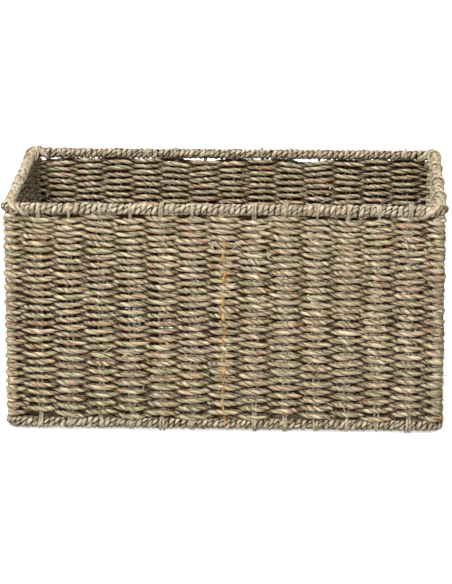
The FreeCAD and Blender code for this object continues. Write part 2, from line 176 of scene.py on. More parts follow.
class Strands:
    """Collects tubes into one mesh, and keeps each point's place along and round its own strand."""

    def __init__(self):
        self.points, self.fibres, self.strands, self.painted_shades = [], [], [], []
        self.loops, self.corners, self.tubes = [], [], []
        self.count = 0

    def tube(self, centres, first, second, along, sides, closed, strand, painted_shade, spin=0.0):
        """Adds a tube: at each centre an ellipse on the two half axes first and second.

        strand is a number that the material tells strands apart by, tint is painted shade, which darkens it
        where it's below 1, and spin is how much its fibres turn round it, in radians per metre.
        """
        rings = len(centres)
        turn = np.linspace(0, 2 * math.pi, sides, endpoint=False)
        ring = first[:, None] * np.cos(turn)[None, :, None] + second[:, None] * np.sin(turn)[None, :, None]
        self.points.append((centres[:, None] + ring).reshape(-1, 3))
        fibre_turn = turn[None, :] + (spin * along)[:, None]
        fibre = (np.repeat(along[:, None], sides, axis=1), np.cos(fibre_turn), np.sin(fibre_turn))
        self.fibres.append(np.stack(fibre, axis=2).reshape(-1, 3))
        self.strands.append(np.full(rings * sides, strand))
        self.painted_shades.append(np.broadcast_to(painted_shade, (rings, sides)).ravel())
        index = np.arange(rings * sides).reshape(rings, sides) + self.count
        ahead = np.roll(index, -1, axis=0)
        quads = np.stack((index, np.roll(index, -1, axis=1), np.roll(ahead, -1, axis=1), ahead), axis=2)
        quads = quads if closed else quads[:-1]
        self.loops.append(quads.ravel())
        self.corners.append(np.full(quads.shape[0] * sides, 4))
        self.tubes.append((len(quads), sides, closed))
        if not closed:
            self.loops += [index[0, ::-1], index[-1]]
            self.corners.append(np.array((sides, sides)))
        self.count += rings * sides

    def chart(self):
        """Lays every tube out flat, in strips of one length: a place on the chart for each face corner."""
        length = math.ceil(math.sqrt(sum(rows for rows, _, _ in self.tubes) * STRIP_HEIGHT))
        stack = sum(math.ceil(rows / length) for rows, _, _ in self.tubes)
        places, strip = [], 0
        for rows, sides, closed in self.tubes:
            row, side = np.arange(rows)[:, None, None], np.arange(sides)[None, :, None]
            across = (side + np.array((0, 1, 1, 0))) / sides * STRIP_FILL
            right = (row % length + np.array((0, 0, 1, 1))) / length
            up = (strip + row // length + across) / stack
            places.append(np.stack(np.broadcast_arrays(right, up), axis=3).reshape(-1, 2))
            if not closed:
                around = np.arange(sides) / sides * STRIP_FILL
                last = rows - 1
                starts = np.stack((np.zeros(sides), (strip + around[::-1]) / stack), axis=1)
                far_right = np.full(sides, (last % length + 1) / length)
                ends = np.stack((far_right, (strip + last // length + around) / stack), axis=1)
                places += [starts, ends]
            strip += math.ceil(rows / length)
        return np.concatenate(places)

    def build(self, name, material):
        """Makes the mesh, which rides on the basket's one body."""
        mesh = bpy.data.meshes.new(name)
        loops = np.concatenate(self.loops)
        corners = np.concatenate(self.corners)
        mesh.vertices.add(self.count)
        mesh.vertices.foreach_set("co", np.concatenate(self.points).ravel())
        mesh.loops.add(len(loops))
        mesh.loops.foreach_set("vertex_index", loops)
        mesh.polygons.add(len(corners))
        mesh.polygons.foreach_set("loop_start", np.cumsum(corners) - corners)
        mesh.update(calc_edges=True)
        mesh.uv_layers.new(name="OFBake").data.foreach_set("uv", self.chart().ravel())
        fibres = mesh.attributes.new("fibre", "FLOAT_VECTOR", "POINT")
        fibres.data.foreach_set("vector", np.concatenate(self.fibres).ravel())
        # tint holds the painted shade that the material darkens the grass by
        for label, values in (("strand", self.strands), ("painted_shade", self.painted_shades)):
            mesh.attributes.new(label, "FLOAT", "POINT").data.foreach_set("value", np.concatenate(values))
        mesh.shade_smooth()
        mesh.materials.append(material)
        piece = bpy.data.objects.new(name, mesh)
        bpy.context.scene.collection.objects.link(piece)
        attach(piece, "root")
        return piece


PLY_OFFSET = 0.44  # these three are parts of the cord's own radius
PLY_WIDE = 0.84
PLY_THICK = 0.57
PLY_SIDES = 6
PLY_SWELL = 0.17  # how much thicker or thinner a ply is here and there
LAY_SLIP = 0.9  # how far ahead of or behind their place the plies turn, in radians
LAY_SLIP_TURNS = 2.2  # and over about how many turns that changes
BLADE_SIDES = 4
BLADE_OFFSET = 0.88  # like the plies', parts of the cord's radius
BLADE_DIP = 0.14
BLADE_WIDE = 0.40
BLADE_THICK = 0.14
BLADE_VARIES = (0.7, 1.3)  # how wide one blade or another is, for a width of one
BLADE_DRIFT = 4  # a loose blade makes up to one turn in this many more or fewer than the plies
PLY_SPIN = 170.0  # how much a ply's own fibres turn, in radians per metre
PAINTED_GROOVE_LIGHT = 0.62  # painted shade: how light a ply's sides are painted, towards the groove between it and the other ply and how much lighter its back is painted
PAINTED_GROOVE_RISE = 0.75  # and how much lighter its back is
SHADOW = 0.04  # how light the painted shadow leaves a cord at its darkest, deep among other cords


def square_to_path(points, outward, closed):
    """At each point of a path, the directions outward and across, made square to the path."""
    if closed:
        ahead = np.roll(points, -1, axis=0) - np.roll(points, 1, axis=0)
    else:
        ahead = np.gradient(points, axis=0)
    ahead = unit(ahead)
    outward = np.broadcast_to(outward, points.shape)
    outward = unit(outward - ahead * np.sum(outward * ahead, axis=1, keepdims=True))
    return outward, np.cross(ahead, outward)


def painted_lightness(outward, tube, turn, dark, heights, clear):
    """How light each point of a tube is painted: shade in the groove beside it, and deep among other cords.

    tube holds the tube's offset from the path and its two half axes, and turn holds its sides' angles.
    """
    light = np.clip(PAINTED_GROOVE_LIGHT + PAINTED_GROOVE_RISE * np.cos(turn), dark, 1.0)
    light = np.broadcast_to(light, (len(outward), len(turn)))
    if heights is None:
        return light
    middle, first, second = (np.sum(vector * outward, axis=1)[:, None] for vector in tube)
    height = heights[:, None] + middle + first * np.cos(turn) + second * np.sin(turn)
    return light * np.clip((height / clear) ** 2, SHADOW, 1.0)


def twisted_cord(
    strands,
    rng,
    points,
    outward,
    radius,
    lay,
    closed=False,
    flat=1.0,
    heights=None,
    clear=1.0,
    loose=0,
    dark=0.6,
):
    """Lays two plies round a path, and blades of grass on them.

    outward is the direction away from what the cord lies on, and flat squashes it against that. radius is
    one number or one for each point. lay is the length of one turn. heights and clear set the painted shade:
    heights says how far each point is from where no light gets to, and clear is how far is far enough to be
    painted fully lit. loose is how many blades lie on the plies and slip under them again here and there.
    dark is how light the painted shade in the groove between the plies is.
    """
    distance, whole = travelled(points, closed)
    outward, across = square_to_path(points, outward, closed)
    turns = max(1, round(whole / lay))
    start = rng.uniform(0, 2 * math.pi)
    slip = wander(rng, distance, whole, LAY_SLIP_TURNS * lay, LAY_SLIP)
    for part in range(2 + loose):
        ply = part < 2
        sides = PLY_SIDES if ply else BLADE_SIDES
        more = 0 if ply else rng.integers(-turns // BLADE_DRIFT, turns // BLADE_DRIFT + 1)
        angle = start + math.pi * part + 2 * math.pi * (turns + more) * distance / whole + slip
        swell = 1 + wander(rng, distance, whole, lay, PLY_SWELL)
        cosine, sine = np.cos(angle)[:, None], np.sin(angle)[:, None]
        lean = outward * flat * cosine + across * sine
        side = across * cosine - outward * flat * sine
        size = (radius * swell)[:, None]
        if ply:
            middle = lean * size * PLY_OFFSET
            first, second = lean * size * PLY_THICK, side * size * PLY_WIDE
        else:
            rise = 1 + wander(rng, distance, whole, lay, BLADE_DIP)[:, None]
            middle = lean * size * BLADE_OFFSET * rise
            first, second = lean * size * BLADE_THICK, side * size * BLADE_WIDE * rng.uniform(*BLADE_VARIES)
        turn = np.linspace(0, 2 * math.pi, sides, endpoint=False)
        # painted shade: darker in the groove between the plies and deep among other cords
        painted_shade = painted_lightness(outward, (middle, first, second), turn, dark, heights, clear)
        strand = rng.uniform(0, 1)
        strands.tube(points + middle, first, second, distance, sides, closed, strand, painted_shade, -PLY_SPIN)


STRAY_LEAST = (4, 0.4, -2, -3)  # millimetres: its length, and how far its tip is away, down and aside
STRAY_MOST = (13, 2.4, 1.4, 3)
STRAY_WIDE = (0.35, 0.7)  # millimetres: the least and the most of half its width
STRAY_THICK = 0.14 * MM
STRAY_TAPER = 0.7
STRAY_POINTS = 6


def stray_blade(strands, rng, start, heading, away, size=1.0):
    """A sliver of grass that has worked loose from a cord and curls off it."""
    share = np.linspace(0, 1, STRAY_POINTS)[:, None]
    length, curl, droop, bend = rng.uniform(STRAY_LEAST, STRAY_MOST) * MM * size
    aside = np.cross(heading, away)
    centres = start + heading * length * share + (away * curl + UP * droop + aside * bend) * share**2
    first = np.repeat(away[None], len(share), axis=0) * STRAY_THICK
    second = aside * rng.uniform(*STRAY_WIDE) * MM * (1 - STRAY_TAPER * share)
    along = length * share[:, 0]
    strands.tube(centres, first, second, along, BLADE_SIDES, False, rng.uniform(0, 1), 1.0)


# ---- The woven walls ----

WEFT_ROWS = 54
WEFT_BANDS = 9  # the rows are kept in this many pieces
WEFT_LAY = 19 * MM
WEFT_STEP = 1.7 * MM
FIRST_ROW = 0.8  # from the foot's binding to the lowest row's middle, as a part of the cord's radius
LAST_ROW = 0.7  # and from the highest row's to the rim's binding
ROW_SPREAD = 0.145  # rows are this much further apart than the mean at the foot, and closer at the rim
WEFT_BEND = 5 * MM
WEFT_SAG = 0.6 * MM  # how far a row drops as it passes outside a stake, and lifts as it passes inside
WEFT_CLEAR = 2.6 * MM  # from the wall's middle to where the painted shade ends and a cord is fully lit
PASSES = (0.78, 1.14)  # how far out or in rows pass the stakes, as parts of SWING
CORNER_PASSES = (0.65, 1.05)  # and how far outside the corner posts
CORNER_INSIDE = -0.8
LIFT_VARIES = 0.22 * MM
ROW_VARIES = (0.95, 1.06)  # how thick one row's cord or another's is, for a thickness of one
ROW_CROSSING = 0.95  # how thick it is as it crosses from one side of the wall to the other
ROW_SWELL = 0.1  # and how much thicker beside a stake
LAY_VARIES = (0.7, 1.4)

# How far the weave has slipped up or down. SLIP_WAVES holds each wave's number, phase and drift per row. A
# gap is how far the row next to the rim or foot has slipped from it, and its waves hold a number and a place
# where the wave is at its most.
SLIP = 0.3 * MM
SLIP_WAVES = ((7, 0.4, 0.13), (13, 2.1, -0.21), (23, 4.4, 0.3), (31, 1.3, -0.35))
RIM_GAP = 1.55 * MM
RIM_GAP_WAVES = ((9, 33 * MM), (14, 33 * MM))
FOOT_GAP = 1.7 * MM
FOOT_GAP_WAVES = ((5, 22 * MM), (11, 22 * MM))
GAP_ROWS = 5.0  # over about how many rows a gap is taken up

BACK_THINNER = 0.14  # how much thinner the cord is at the upper right of the back wall
THINNER_FROM = 0.7  # how far up the wall that starts, as a part of its rows

STRAYS_PER_ROW = 18
STRAY_TILT = 0.5  # radians
STRAY_ROOT = 0.8  # how far out of its cord a stray blade starts, as a part of the cord's radius


def row_levels():
    """The heights of the weft rows, from just above the foot's binding to just below the rim's."""
    lowest = FOOT_LEVEL + BINDING_RADIUS + CORD_RADIUS * FIRST_ROW
    highest = RIM_LEVEL - BINDING_RADIUS - CORD_RADIUS * LAST_ROW
    share = np.linspace(0, 1, WEFT_ROWS)
    return lowest + (highest - lowest) * (share + ROW_SPREAD * (share - share**2))


def stations():
    """The stakes and corner posts that a row passes, as distances along it, and which are corner posts."""
    backwards_x, backwards_y = [-x for x in CROSS_X[::-1]], [-y for y in SIDE_Y[::-1]]
    places, corners, start = [], [], 0.0
    for passed, length in ((CROSS_X, LENGTH), (SIDE_Y, DEPTH), (backwards_x, LENGTH), (backwards_y, DEPTH)):
        places += [start + length / 2 - WEFT_BEND + place for place in passed]
        start += length - 2 * WEFT_BEND
        corners.append(len(places))
        places.append(start + WEFT_BEND * math.pi / 4)
        start += WEFT_BEND * math.pi / 2
    return np.array(places), corners


def unevenness(distance, whole, row):
    """How far the weave has slipped up or down here: waves that move along a little from row to row."""
    turn = 2 * math.pi / whole
    total = np.zeros_like(distance)
    for waves, phase, drift in SLIP_WAVES:
        total += np.sin(turn * waves * distance + phase + row * drift) * SLIP
    for gap, gap_waves, rows in (
        (-RIM_GAP, RIM_GAP_WAVES, WEFT_ROWS - 1 - row),
        (FOOT_GAP, FOOT_GAP_WAVES, row),
    ):
        opened = sum(np.cos(turn * waves * (distance - place)) for waves, place in gap_waves)
        total += gap * np.clip(opened, 0, None) * np.exp(-rows / GAP_ROWS)
    return total


def row_path(rng, row, level):
    """A row's way round the basket: points, outward directions, and how far out it is, from -1 to 1."""
    points, outward = loop_path(LENGTH, DEPTH, WEFT_BEND, WEFT_STEP)
    distance, whole = travelled(points, True)
    knots, corners = stations()
    passes = np.where((np.arange(len(knots)) + row) % 2, 1.0, -1.0) * rng.uniform(*PASSES, len(knots))
    lifts = -passes * WEFT_SAG
    corner_passes = rng.uniform(*CORNER_PASSES, len(corners))
    passes[corners] = np.where(passes[corners] > 0, corner_passes, CORNER_INSIDE)
    lifts += rng.normal(0, LIFT_VARIES, len(knots))
    swing = eased(distance, knots, passes, whole)
    rise = eased(distance, knots, lifts, whole) + unevenness(distance, whole, row)
    path = points + outward * (swing * SWING)[:, None] + UP * (level + rise)[:, None]
    path, outward, swing = resampled(path, WEFT_STEP, True, outward, swing[:, None])
    return path, outward, swing[:, 0]


def weft_row(strands, rng, row, level):
    """One row, once round the basket: in front of a stake or corner post and behind the next."""
    path, outward, swing = row_path(rng, row, level)
    radius = CORD_RADIUS * rng.uniform(*ROW_VARIES) * (ROW_CROSSING + ROW_SWELL * np.abs(swing))
    if row > WEFT_ROWS * THINNER_FROM:
        radius *= 1 - BACK_THINNER * np.clip(outward[:, 1], 0, 1) * np.clip(path[:, 0] / DEPTH, 0, 1)
    lay = WEFT_LAY * rng.uniform(*LAY_VARIES)
    # how far out of the wall's middle the cord is, for its painted shade
    heights = swing * SWING
    twisted_cord(strands, rng, path, outward, radius, lay, True, heights=heights, clear=WEFT_CLEAR, loose=2)
    for place in rng.integers(0, len(path) - 1, STRAYS_PER_ROW):
        away = outward[place] * np.sign(swing[place])
        ahead = unit(path[place + 1] - path[place]) * rng.choice((-1, 1))
        tilt = rng.normal(0, STRAY_TILT)
        heading = ahead * math.cos(tilt) + UP * math.sin(tilt)
        stray_blade(strands, rng, path[place] + away * CORD_RADIUS * STRAY_ROOT, heading, away)


def woven_walls(material):
    """All the rows, in bands of neighbouring rows. The first band takes the place of the walls' nodes."""
    rng = np.random.default_rng(11)
    levels = row_levels()
    walls = ("front_weave", "back_weave", "left_weave", "right_weave")
    for band, rows in enumerate(np.array_split(np.arange(WEFT_ROWS), WEFT_BANDS), start=1):
        strands = Strands()
        for row in rows:
            weft_row(strands, rng, row, levels[row])
        piece = strands.build(f"weft_band_{band}", material)
        if band == 1:
            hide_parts(*walls)


POST_PITCH = 4.1 * MM
POST_CORD = 1.8 * MM
POST_LAY = 15 * MM
POST_STEP = 1.6 * MM
POST_POINTS = 1200  # in its path, before they are spaced evenly
POST_LIES = 0.9  # how far out of the post the cord's middle lies, as a part of its half thickness
POST_WANDER = (30.0, 0.08)  # over what angle, in radians, it comes nearer or goes further off, and how much


def post_turns(name, material):
    """The cord that covers a corner post, turn on turn, and shows between the rows outside the post."""
    rng = np.random.default_rng(seed_of(name))
    middle = size_and_middle(name.replace("corner_weave", "post"))[1] * (1, 1, 0)
    low, high = FOOT_LEVEL + BINDING_RADIUS, RIM_LEVEL - BINDING_RADIUS
    turns = np.linspace(0, 2 * math.pi * round((high - low) / POST_PITCH), POST_POINTS)
    away = np.stack((np.cos(turns), np.sin(turns), np.zeros_like(turns)), axis=1)
    reach = (WIRE_RADIUS + POST_CORD * POST_LIES) * (1 + wander(rng, turns, turns[-1], *POST_WANDER))
    path = middle + away * reach[:, None] + UP * (low + (high - low) * turns / turns[-1])[:, None]
    path, away = resampled(path, POST_STEP, False, away)
    strands = Strands()
    radius = POST_PITCH / 2
    twisted_cord(strands, rng, path, away, radius, POST_LAY, flat=POST_CORD / radius)
    piece = strands.build(f"{name}_cord", material)
    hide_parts(name)


# Where the tufts are, as millimetres to the right of the middle of the front wall and up from the floor.
TUFTS = ((-78, 107), (81, 123), (-88, 74), (-108, 151), (136, 130), (13, 178), (-10, 175), (40, 168))
TUFT_BLADES = 9
TUFT_INNER = 3 * MM  # a blade starts this far on the other side of the tuft's middle
TUFT_SQUASH = 0.6  # how far a tuft spreads up and down, for a spread of one to the sides
TUFT_SIZE = 0.8


def tufts(material):
    """Tufts of loose grass on the front wall, each on its own spot."""
    rng = np.random.default_rng(13)
    forward = np.array((0.0, -1.0, 0.0))
    strands = Strands()
    for x, z in TUFTS:
        start = np.array((x * MM, -DEPTH / 2 - SWING - CORD_RADIUS, z * MM))
        for turn in rng.uniform(0, 2 * math.pi, TUFT_BLADES):
            heading = np.array((math.cos(turn), 0.0, TUFT_SQUASH * math.sin(turn)))
            stray_blade(strands, rng, start - heading * TUFT_INNER, unit(heading), forward, TUFT_SIZE)
    strands.build("front_tufts", material)


# ---- The woven base ----

BASE_ROW_PITCH = 3.55 * MM
BASE_CORD = CORD_RADIUS * 0.97
BASE_CLEAR = 0.4  # from the foot's binding to the cord's middle, as a part of its radius
BASE_PASSES = (0.86, 1.0)  # how far over or under the stakes it passes, as parts of SWING
BASE_DRIFT = 0.25 * MM
END_POINTS = 4  # on the bend from one run to the next


def base_run(rng, row, y, reach, places):
    """One run of the base's cord from left to right, over a stake and under the next."""
    knots = [-reach, *CROSS_X, reach]
    passes = [
        (1.0 if (row + stake) % 2 else -1.0) * rng.uniform(*BASE_PASSES) for stake in range(len(CROSS_X))
    ]
    drift = [rng.normal(0, BASE_DRIFT) for _ in CROSS_X]
    swing = eased(places, knots, [0, *passes, 0]) * SWING
    aside = eased(places, knots, [0, *drift, 0])
    return np.stack((places, y + aside, BASE_LEVEL + swing), axis=1)


def base_path(rng):
    """The cord's way to and fro across the cross stakes, with a bend at each end."""
    half_length, half_depth = np.array((LENGTH, DEPTH)) / 2 - BINDING_RADIUS - CORD_RADIUS * BASE_CLEAR
    levels = np.linspace(-half_depth, half_depth, round(2 * half_depth / BASE_ROW_PITCH))
    places = np.arange(-half_length, half_length, WEFT_STEP)
    turn = np.linspace(-math.pi / 2, math.pi / 2, END_POINTS + 2)[1:-1]
    path = []
    for row, y in enumerate(levels):
        side = 1 if row % 2 == 0 else -1
        path.append(base_run(rng, row, y, half_length, places)[::side])
        if row + 1 < len(levels):
            out = side * (half_length + np.cos(turn) * BASE_ROW_PITCH / 2)
            along = (y + levels[row + 1]) / 2 + np.sin(turn) * BASE_ROW_PITCH / 2
            path.append(np.stack((out, along, np.full(END_POINTS, BASE_LEVEL)), axis=1))
    return resampled(np.concatenate(path), WEFT_STEP)[0]


def woven_base(material):
    """One long cord that is woven to and fro across the cross stakes, in two halves."""
    rng = np.random.default_rng(12)
    path = base_path(rng)
    half = len(path) // 2
    for number, part in enumerate((path[: half + 1], path[half:]), start=1):
        strands = Strands()
        # how far over or under the base's middle the cord is, for its painted shade
        heights = part[:, 2] - BASE_LEVEL
        twisted_cord(strands, rng, part, UP, BASE_CORD, WEFT_LAY, heights=heights, clear=WEFT_CLEAR)
        piece = strands.build(f"base_cord_{number}", material)
        if number == 1:
            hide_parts("base_weave")


# ---- The bindings of rim and foot ----

WIRE_STEP = 0.25 * MM
BINDING_PITCH = 4.9 * MM
BINDING_LAY = 11 * MM
BINDING_STEP = 1.3 * MM
CORNER_TURNS = 0.5  # how many more turns there are round the corners, for the same length of wire
BINDING_SLIPS = ((60 * MM, 0.9), (21 * MM, 0.35))  # lengths, and how far its turns run ahead, in radians
BINDING_SWELLS = ((30 * MM, 0.07), (11 * MM, 0.04))  # lengths, and how much further out it lies, as a part
STRAIGHT = 0.01  # on a straight stretch, one part of the outward direction is less than this
BINDING_SHADE = 0.65  # painted shade: how far its middle is from full shade, as a part of its half thickness


def wire_loop():
    """A frame wire's loop: points, outward directions, distances along it, and the whole length."""
    points, outward = loop_path(LENGTH, DEPTH, FRAME_BEND, WIRE_STEP)
    return points, outward, *travelled(points, True)


def round_wire(along, turns, reach, level):
    """Points round a frame wire, and the directions away from it.

    along is the distance along the wire's loop, turns is the angle round it from outward through up, and
    reach is how far from its middle.
    """
    points, outward, distance, whole = wire_loop()
    middle, out = (
        np.stack([np.interp(along, distance, column, period=whole) for column in array.T], axis=1)
        for array in (points, outward)
    )
    away = out * np.cos(turns)[:, None] + UP * np.sin(turns)[:, None]
    return middle + away * np.reshape(reach, (-1, 1)) + UP * level, away


def binding(name, node, level, material, seed, dark, clear):
    """A cord wound round a frame wire, turn against turn, climbing to the right as seen from outside.

    dark and clear set its painted shade as in twisted_cord, but clear is a part of its thickness here.
    """
    rng = np.random.default_rng(seed)
    _, outward, along, whole = wire_loop()
    at_corner = np.minimum(abs(outward[:, 0]), abs(outward[:, 1])) > STRAIGHT
    wound = np.cumsum(1 + CORNER_TURNS * at_corner)
    turns = 2 * math.pi * round(whole / BINDING_PITCH) * wound / wound[-1]
    turns += sum(wander(rng, along, whole, *slips) for slips in BINDING_SLIPS)
    thick = (BINDING_RADIUS - WIRE_RADIUS) / 2
    lift = 1 + sum(wander(rng, along, whole, *swells) for swells in BINDING_SWELLS)
    path, away = round_wire(along, turns, (WIRE_RADIUS + thick) * lift, level)
    path, away = resampled(path, BINDING_STEP, True, away)
    strands = Strands()
    radius = BINDING_PITCH / 2
    # painted shade, at the same depth all along the binding
    heights = np.full(len(path), thick * BINDING_SHADE)
    flat_and_painted_shade = {"flat": thick / radius, "heights": heights, "clear": thick * clear, "dark": dark}
    twisted_cord(strands, rng, path, away, radius, BINDING_LAY, True, loose=2, **flat_and_painted_shade)
    piece = strands.build(name, material)
    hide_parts(node)


# ---- Stakes ----

STAKE_LAY = 5 * MM
STAKE_STEP = 1.4 * MM
STAKE_APART = 4.2 * MM  # between the two cords of one stake, in the weave
STAKE_CLOSE = 1.3 * MM  # and at the rim
STAKE_FOOT = 2.3 * MM  # and at the foot
JOG_HEIGHT = 9 * MM  # from the middle of a frame wire to where a stake enters the weave
BASE_TURN = 14 * MM  # from the wall's middle to where a cross stake leaves the base
STAKE_SUNK = (0.3 * MM, 1.2 * MM, 1.6 * MM)  # how deep one stake or another lies in the bindings
STAKE_WANDER = (55 * MM, 0.9 * MM)  # over what length it strays to a side, and how far
SPREAD_LEVELS = (
    FOOT_LEVEL + JOG_HEIGHT,
    FOOT_LEVEL + 2 * JOG_HEIGHT,
    RIM_LEVEL - 2 * JOG_HEIGHT,
    RIM_LEVEL - JOG_HEIGHT,
)
SPREAD = (STAKE_FOOT, STAKE_APART, STAKE_APART, STAKE_CLOSE)  # how far apart the two cords are at each level

# Places round a frame wire, in degrees from outward through up.
WEAVE_SIDE = 25  # where a stake leaves the foot for the weave, and as far below outward at the rim
BELOW = -90  # where a cross stake comes from the base
TAIL = 205  # where a stake ends, inside the rim
ARC_POINTS = 9


def arc(wall, level, radius, start, end):
    """Points round a frame wire, in the plane of a stake: distances out and heights."""
    turn = np.radians(np.linspace(start, end, ARC_POINTS))
    return np.stack((wall + radius * np.cos(turn), level + radius * np.sin(turn)), axis=1)


def wall_climb(wall, radius, start, sunk):
    """A stake's outline on a wall, as distances out and heights.

    It runs from the foot, at start degrees round the wire, to its tail inside the rim. sunk is how deep it
    lies between the turns of the bindings.
    """
    reach = BINDING_RADIUS + radius - sunk
    foot = arc(wall, FOOT_LEVEL, reach, start, WEAVE_SIDE)
    rim = arc(wall, RIM_LEVEL, reach, -WEAVE_SIDE, TAIL)
    in_weave = np.array(((wall, FOOT_LEVEL + JOG_HEIGHT), (wall, RIM_LEVEL - JOG_HEIGHT)))
    return np.concatenate((foot, in_weave, rim))


def cross_outline(radius, sunk):
    """A cross stake from its tail inside the front rim to its tail inside the back rim."""
    half = wall_climb(DEPTH / 2, radius, BELOW, sunk)
    in_base = np.array(((0.0, BASE_LEVEL), (DEPTH / 2 - BASE_TURN, BASE_LEVEL)))
    half = np.concatenate((in_base, half))
    front = half[::-1] * (-1, 1)
    return softened(np.concatenate((front[:-1], half[1:])))


def side_outline(radius, sunk):
    """An end-wall stake from its tail inside the foot to its tail inside the rim."""
    return softened(wall_climb(LENGTH / 2, radius, -TAIL, sunk))


def stake(name, material, outline, place, across, cords=2, radius=STAKE_RADIUS, lay=STAKE_LAY):
    """A stake of one or two thin cords side by side.

    outline holds distances out and heights, across is the level direction across the stake, and place is
    where the stake stands along it.
    """
    rng = np.random.default_rng(seed_of(name))
    out = np.cross(UP, across)
    strands = Strands()
    for cord in range(cords):
        (flat,) = resampled(outline, STAKE_STEP)
        distance, whole = travelled(flat, False)
        apart = np.interp(flat[:, 1], SPREAD_LEVELS, SPREAD)
        aside = (cord - (cords - 1) / 2) * apart
        shift = place + aside + wander(rng, distance, whole, *STAKE_WANDER)
        path = out * flat[:, :1] + UP * flat[:, 1:] + across * shift[:, None]
        twisted_cord(strands, rng, path, across, radius, lay)
    piece = strands.build(f"{name}_cord", material)
    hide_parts(name)


def seed_of(name):
    """A number that is always the same for the same name."""
    total = 7
    for letter in name:
        total = (total * 31 + ord(letter)) % 1000003
    return total


MARKER_RADIUS = 1.5 * MM
MARKER_SUNK = 3.8 * MM  # so deep that the bindings hide it
MARKER_LAY = 16 * MM
MARKER_OVER = 0.36  # how many of the rows in front of its place it lies over
MARKER_PROUD = 0.3  # and how far out its middle is there, as a part of its radius
MARKER_LOST = 8  # how many rows next to the rim hide it
MARKER_BETWEEN = 2.4 * MM  # how far forward it stands between one row in front and the next


def marker_outline():
    """The coloured cord's way: over some of the rows that pass in front of its place, and under the rest."""
    rng = np.random.default_rng(14)
    station = CROSS_STAKES.index("marker_stake")
    place = stations()[0][station]
    whole = travelled(loop_path(LENGTH, DEPTH, WEFT_BEND, WEFT_STEP)[0], True)[1]
    rows = np.arange(WEFT_ROWS)
    in_front = (station + rows) % 2 == 1
    levels = row_levels() + unevenness(np.full(WEFT_ROWS, place), whole, rows)
    levels -= np.where(in_front, WEFT_SAG, -WEFT_SAG)
    over = in_front & (rng.random(WEFT_ROWS) < MARKER_OVER)
    over[-MARKER_LOST:] = False
    on_top = SWING + CORD_RADIUS + MARKER_RADIUS * MARKER_PROUD
    forward = np.select((over, in_front), (on_top, 0.0), MARKER_BETWEEN)
    forward[0] = 0.0
    forward[-MARKER_LOST:] = 0.0
    (outline,) = resampled(cross_outline(MARKER_RADIUS, MARKER_SUNK), STAKE_STEP)
    in_front_wall = outline[:, 0] < -DEPTH / 2 + SWING
    outline[:, 0] -= in_front_wall * eased(outline[:, 1], levels, forward)
    return outline


def stakes(pale, coloured):
    """Every stake, where the frame has it: pale ones, and the coloured one at the centre."""
    rng = np.random.default_rng(15)
    for name in CROSS_STAKES:
        place = size_and_middle(name)[1][0]
        if name == "marker_stake":
            stake(name, coloured, marker_outline(), place, ALONG_X, 1, MARKER_RADIUS, MARKER_LAY)
        else:
            outline = cross_outline(STAKE_RADIUS, rng.choice(STAKE_SUNK))
            stake(name, pale, outline, place, ALONG_X)
    for side, x_side in (("left", -1), ("right", 1)):
        for name in SIDE_STAKES[side]:
            place = size_and_middle(name)[1][1]
            across = np.array((0.0, -x_side, 0.0))
            outline = side_outline(STAKE_RADIUS, rng.choice(STAKE_SUNK))
            stake(name, pale, outline, -x_side * place, across)


# ---- Lashings ----

LASHING_RADIUS = 2.4 * MM
LASHING_FLAT = 0.45
LASHING_LIES = 0.8  # how far its middle is from the binding, as a part of its half thickness
LASHING_INSET = 8 * MM  # from the corner, along the wire
LASHING_SLANT = 7 * MM
INSET_VARIES = (0.9, 1.2)
SLANT_VARIES = (0.7, 1.1)
LASHING_LAY = 40 * MM
LASHING_POINTS = 60
# how flat the lashing lies, and how light the painted shade in its grooves is
LASHING_LOOK = {"flat": LASHING_FLAT, "dark": 0.8}
HEAD_RADIUS = 2.6 * MM  # the turn round the post's head
HEAD_LEVEL = RIM_LEVEL - BINDING_RADIUS - HEAD_RADIUS
HEAD_SLANT = 2.2 * MM


def lashing(name, material):
    """Cord tied round both legs of a rim corner, each turn on a slant, and round the head of the post."""
    rng = np.random.default_rng(seed_of(name))
    side = np.sign(size_and_middle(name)[1])[:2]
    points, _, distance, _ = wire_loop()
    corner = distance[np.argmax(points[:, :2] @ side)]
    turns = np.linspace(0, 2 * math.pi, LASHING_POINTS, endpoint=False)
    strands = Strands()
    for leg in (-1, 1):
        inset = LASHING_INSET * rng.uniform(*INSET_VARIES)
        slant = LASHING_SLANT * rng.uniform(*SLANT_VARIES)
        along = corner + leg * (inset - slant * np.sin(turns))
        reach = BINDING_RADIUS + LASHING_RADIUS * LASHING_FLAT * LASHING_LIES
        path, away = round_wire(along, turns, reach, RIM_LEVEL)
        twisted_cord(strands, rng, path, away, LASHING_RADIUS, LASHING_LAY, True, **LASHING_LOOK)
    post = size_and_middle(name.replace("lashing", "post"))[1] * (1, 1, 0)
    away = np.stack((np.cos(turns), np.sin(turns), np.zeros_like(turns)), axis=1)
    level = HEAD_LEVEL + HEAD_SLANT * np.sin(turns + rng.uniform(0, 2 * math.pi))
    path = post + away * (WIRE_RADIUS + HEAD_RADIUS) + UP * level[:, None]
    twisted_cord(strands, rng, path, away, HEAD_RADIUS, LASHING_LAY / 2, True)
    piece = strands.build(f"{name}_cord", material)
    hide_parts(name)


# ---- Materials ----

STRAND_SHIFT = 83.0  # how far apart strands are in a pattern, so that no two look alike


def linear(red, green, blue):
    """A colour given as 0 to 255, as the linear values that nodes take."""
    return tuple(
        (value / 255 / 12.92) if value <= 10 else ((value / 255 + 0.055) / 1.055) ** 2.4
        for value in (red, green, blue)
    ) + (1.0,)


